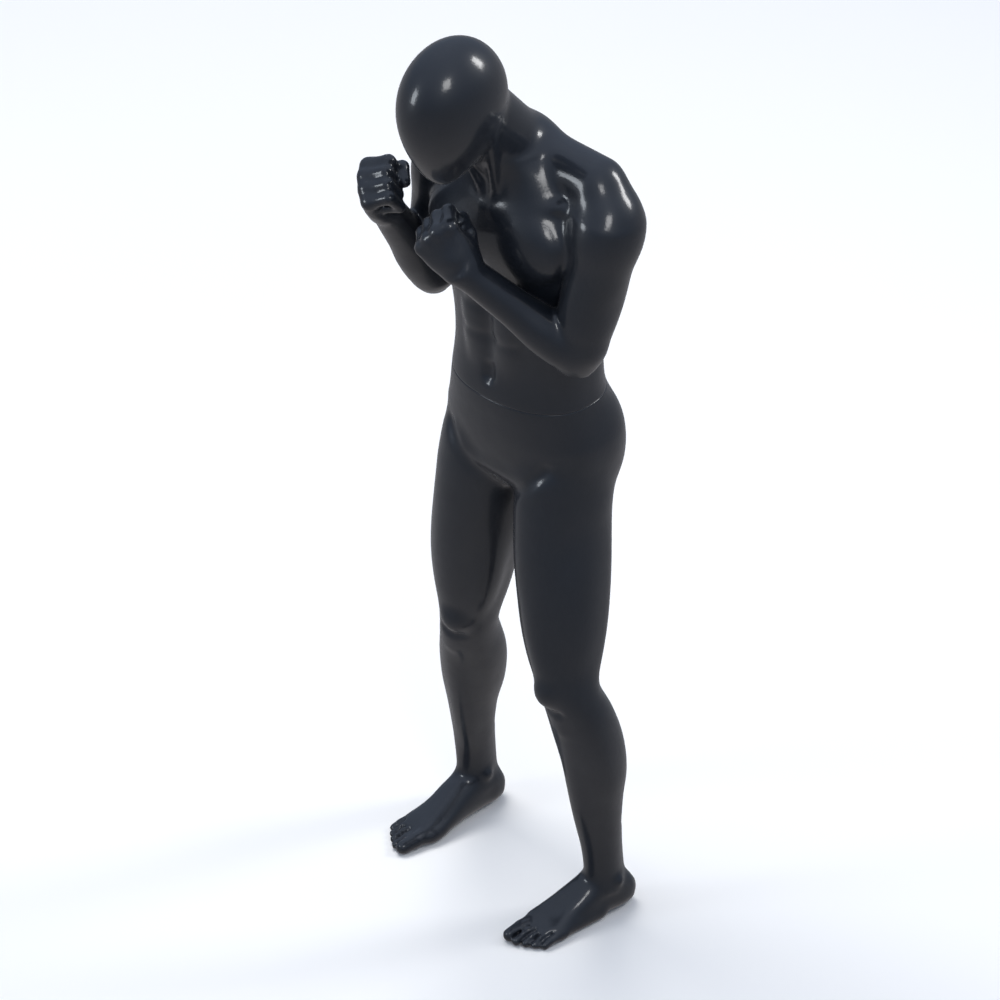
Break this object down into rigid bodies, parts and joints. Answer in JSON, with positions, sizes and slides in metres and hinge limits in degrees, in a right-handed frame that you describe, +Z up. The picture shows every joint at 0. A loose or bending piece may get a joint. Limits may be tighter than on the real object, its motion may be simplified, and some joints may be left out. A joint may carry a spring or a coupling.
{
  "type": "boxing pose mannequin",
  "caption": "Faceless life-size figure in a boxer's guard, glossy dark shells, with an upper body that turns and lifts off at the waist.",
  "frame": {"origin": "middle of the bounding box, on the floor", "axes": "+Z up; the figure faces -Y, with its left side towards +X"},
  "size_m": [0.5379, 0.4317, 1.8112],
  "materials": {
    "body_paint": "glossy anthracite paint",
    "plywood": "raw",
    "zinc_steel": "zinc plated",
    "nylon": "matte"
  },
  "bodies": {
    "lower_body": {"pelvis_shell": "body_paint", "left_leg_shell": "body_paint", "right_leg_shell": "body_paint", "lower_waist_board": "plywood", "lower_waist_bushing": "zinc_steel", "lower_bushing_screw_1": "zinc_steel", "lower_bushing_screw_2": "zinc_steel", "lower_bushing_screw_3": "zinc_steel", "lower_bushing_screw_4": "zinc_steel", "foot_socket_tube": "zinc_steel", "foot_set_screw": "zinc_steel"},
    "spigot": {"waist_spigot": "zinc_steel", "waist_thrust_washer": "nylon"},
    "upper_body": {"torso_shell": "body_paint", "head_shell": "body_paint", "left_arm_shell": "body_paint", "right_arm_shell": "body_paint", "left_fist": "body_paint", "right_fist": "body_paint", "upper_waist_board": "plywood", "upper_waist_socket": "zinc_steel", "upper_socket_screw_1": "zinc_steel", "upper_socket_screw_2": "zinc_steel", "upper_socket_screw_3": "zinc_steel", "upper_socket_screw_4": "zinc_steel"}
  },
  "joints": [
    {"name": "waist_turn", "type": "hinge", "parent": "lower_body", "child": "spigot", "pos_m": [-0.0037, 0.0757, 1.05], "axis": [0, 0, 1], "range_deg": [-20, 20]},
    {"name": "waist_lift", "type": "slide", "parent": "spigot", "child": "upper_body", "axis": [0, 0, 1], "range_m": [0, 0.06]}
  ]
}
